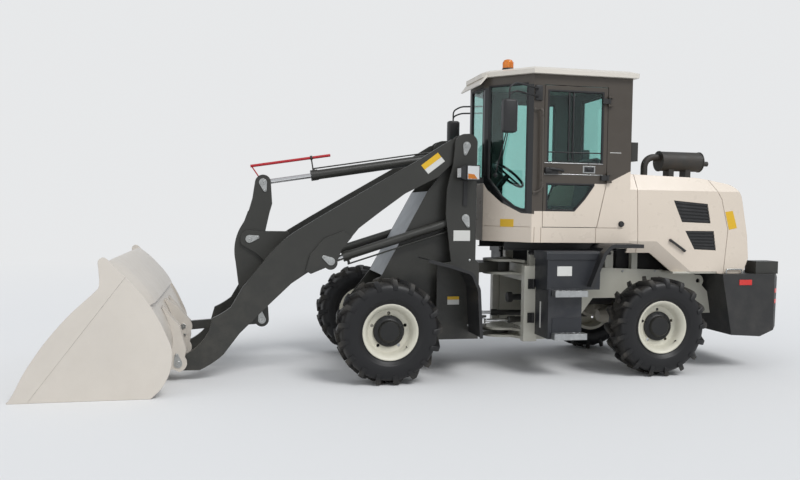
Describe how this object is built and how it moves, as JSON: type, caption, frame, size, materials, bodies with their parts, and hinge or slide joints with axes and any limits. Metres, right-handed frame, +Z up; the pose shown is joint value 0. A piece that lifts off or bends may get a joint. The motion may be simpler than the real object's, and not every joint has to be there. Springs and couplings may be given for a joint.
{
  "type": "wheel loader",
  "caption": "Articulated wheel loader with closed cab, Z-bar boom, wide bucket, four lugged tyres, rear engine hood and counterweight.",
  "frame": {"origin": "on the ground under the middle of the machine, bucket tip to counterweight", "axes": "+X points to the rear (counterweight), the bucket is at -X, +Z is up, -Y is the side of the cab door"},
  "size_m": [7.43, 2.246, 3.145],
  "materials": {
    "dark_frame_paint": "satin",
    "light_paint": "gloss",
    "bucket_paint": "satin",
    "grey_paint": "satin",
    "red_paint": "satin",
    "box_paint": "satin",
    "bright_steel": "brushed",
    "chrome_rod": "polished",
    "cast_parts": "matte",
    "tyre_rubber": "matte",
    "black_plastic": "matte",
    "seat_cloth": "woven",
    "glass_tinted": "gloss",
    "beacon_lens": "gloss",
    "red_lens": "gloss"
  },
  "bodies": {
    "rear_frame": {"frame_sides": "light_paint", "rear_frame": "light_paint", "cab_frame": "dark_frame_paint", "cab_panels": "light_paint", "cab_roof": "light_paint", "windscreen": "glass_tinted", "cab_glass": "glass_tinted", "seat": "seat_cloth", "console": "black_plastic", "hood": "light_paint", "hood_tail": "light_paint", "hood_grilles": "black_plastic", "counterweight": "grey_paint", "engine_block": "cast_parts", "gearbox": "cast_parts", "muffler": "cast_parts", "rear_axle": "light_paint", "rear_fenders": "black_plastic", "side_boxes": "box_paint", "steps": "bright_steel", "grab_rails": "dark_frame_paint", "mirrors": "black_plastic", "beacon": "beacon_lens", "tail_lamps": "red_lens", "rear_box": "dark_frame_paint"},
    "door": {"door": "dark_frame_paint", "door_panel": "light_paint", "door_glass": "glass_tinted"},
    "front_frame": {"front_frame": "dark_frame_paint", "front_sides": "dark_frame_paint", "front_plate": "light_paint", "front_axle": "light_paint", "front_shaft": "cast_parts", "front_fenders": "black_plastic", "headlamps": "black_plastic"},
    "boom": {"boom_arm_left": "dark_frame_paint", "boom_arm_right": "dark_frame_paint", "boom_cross": "dark_frame_paint"},
    "bellcrank": {"bellcrank": "dark_frame_paint"},
    "dump_link": {"dump_link": "dark_frame_paint"},
    "bucket": {"bucket_shell": "bucket_paint", "bucket_sides": "bucket_paint", "bucket_brackets": "bucket_paint"},
    "lift_barrels": {"lift_barrels": "dark_frame_paint"},
    "lift_rods": {"lift_rods": "chrome_rod"},
    "tilt_barrel": {"tilt_barrel": "dark_frame_paint"},
    "tilt_rod": {"tilt_rod": "chrome_rod", "level_bar": "red_paint"},
    "steer_barrel_l": {"steer_barrel_l": "dark_frame_paint"},
    "steer_barrel_r": {"steer_barrel_r": "dark_frame_paint"},
    "steer_rod_l": {"steer_rod_l": "chrome_rod"},
    "steer_rod_r": {"steer_rod_r": "chrome_rod"},
    "wheel_fl": {"tyre_fl": "tyre_rubber", "rim_fl": "light_paint"},
    "wheel_fr": {"tyre_fr": "tyre_rubber", "rim_fr": "light_paint"},
    "wheel_rl": {"tyre_rl": "tyre_rubber", "rim_rl": "light_paint"},
    "wheel_rr": {"tyre_rr": "tyre_rubber", "rim_rr": "light_paint"}
  },
  "joints": [
    {"name": "steer", "type": "hinge", "parent": "rear_frame", "child": "front_frame", "pos_m": [0.855, 0, 0.7], "axis": [0, 0, 1], "range_deg": [-35, 35]},
    {"name": "door", "type": "hinge", "parent": "rear_frame", "child": "door", "pos_m": [1.725, -0.67, 2.2], "axis": [0, 0, 1], "range_deg": [0, 95]},
    {"name": "boom_lift", "type": "hinge", "parent": "front_frame", "child": "boom", "pos_m": [0.305, 0, 2.25], "axis": [0, 1, 0], "range_deg": [0, 75]},
    {"name": "bucket_tilt", "type": "hinge", "parent": "boom", "child": "bucket", "pos_m": [-2.415, 0, 0.17], "axis": [0, 1, 0], "range_deg": [-115, 40]},
    {"name": "link_swing", "type": "hinge", "parent": "bucket", "child": "dump_link", "pos_m": [-2.395, 0, 0.45], "axis": [0, 1, 0], "range_deg": [-34, 97]},
    {"name": "bellcrank_swing", "type": "hinge", "parent": "boom", "child": "bellcrank", "pos_m": [-1.771, 0, 1.306], "axis": [0, 1, 0], "range_deg": [-8.5, 24.5]},
    {"name": "tilt_barrel_swing", "type": "hinge", "parent": "front_frame", "child": "tilt_barrel", "pos_m": [0.285, 0, 2.18], "axis": [0, 1, 0], "range_deg": [0, 75]},
    {"name": "tilt_rod_slide", "type": "slide", "parent": "tilt_barrel", "child": "tilt_rod", "axis": [-0.9868, 0, -0.1622], "range_m": [-0.215, 0.08]},
    {"name": "lift_barrel_swing", "type": "hinge", "parent": "front_frame", "child": "lift_barrels", "pos_m": [0.305, 0, 1.54], "axis": [0, 1, 0], "range_deg": [0, 70]},
    {"name": "lift_rod_slide", "type": "slide", "parent": "lift_barrels", "child": "lift_rods", "axis": [-0.9512, 0, -0.3084], "range_m": [0, 0.86]},
    {"name": "steer_barrel_l_swing", "type": "hinge", "parent": "rear_frame", "child": "steer_barrel_l", "pos_m": [1.355, -0.205, 0.5], "axis": [0, 0, 1], "range_deg": [-15, 15]},
    {"name": "steer_barrel_r_swing", "type": "hinge", "parent": "rear_frame", "child": "steer_barrel_r", "pos_m": [1.355, 0.205, 0.5], "axis": [0, 0, 1], "range_deg": [-15, 15]},
    {"name": "steer_rod_l_slide", "type": "slide", "parent": "steer_barrel_l", "child": "steer_rod_l", "axis": [-0.988, -0.1544, 0], "range_m": [-0.19, 0.19]},
    {"name": "steer_rod_r_slide", "type": "slide", "parent": "steer_barrel_r", "child": "steer_rod_r", "axis": [-0.988, 0.1544, 0], "range_m": [-0.19, 0.19]},
    {"name": "wheel_fl_spin", "type": "hinge", "parent": "front_frame", "child": "wheel_fl", "pos_m": [-0.515, -0.7855, 0.49], "axis": [0, 1, 0], "continuous": true},
    {"name": "wheel_fr_spin", "type": "hinge", "parent": "front_frame", "child": "wheel_fr", "pos_m": [-0.515, 0.7855, 0.49], "axis": [0, 1, 0], "continuous": true},
    {"name": "wheel_rl_spin", "type": "hinge", "parent": "rear_frame", "child": "wheel_rl", "pos_m": [2.225, -0.7855, 0.49], "axis": [0, 1, 0], "continuous": true},
    {"name": "wheel_rr_spin", "type": "hinge", "parent": "rear_frame", "child": "wheel_rr", "pos_m": [2.225, 0.7855, 0.49], "axis": [0, 1, 0], "continuous": true}
  ],
  "couplings": [
    {"joint": "link_swing", "follows": "bucket_tilt", "ratio": -0.84},
    {"joint": "bellcrank_swing", "follows": "bucket_tilt", "ratio": -0.21},
    {"joint": "tilt_rod_slide", "follows": "bucket_tilt", "m_per_rad": 0.1},
    {"joint": "tilt_barrel_swing", "follows": "boom_lift", "ratio": 1},
    {"joint": "lift_barrel_swing", "follows": "boom_lift", "ratio": 0.93},
    {"joint": "lift_rod_slide", "follows": "boom_lift", "m_per_rad": 0.645},
    {"joint": "steer_barrel_l_swing", "follows": "steer", "ratio": 0.41},
    {"joint": "steer_barrel_r_swing", "follows": "steer", "ratio": 0.41},
    {"joint": "steer_rod_l_slide", "follows": "steer", "m_per_rad": -0.272},
    {"joint": "steer_rod_r_slide", "follows": "steer", "m_per_rad": 0.272}
  ]
}
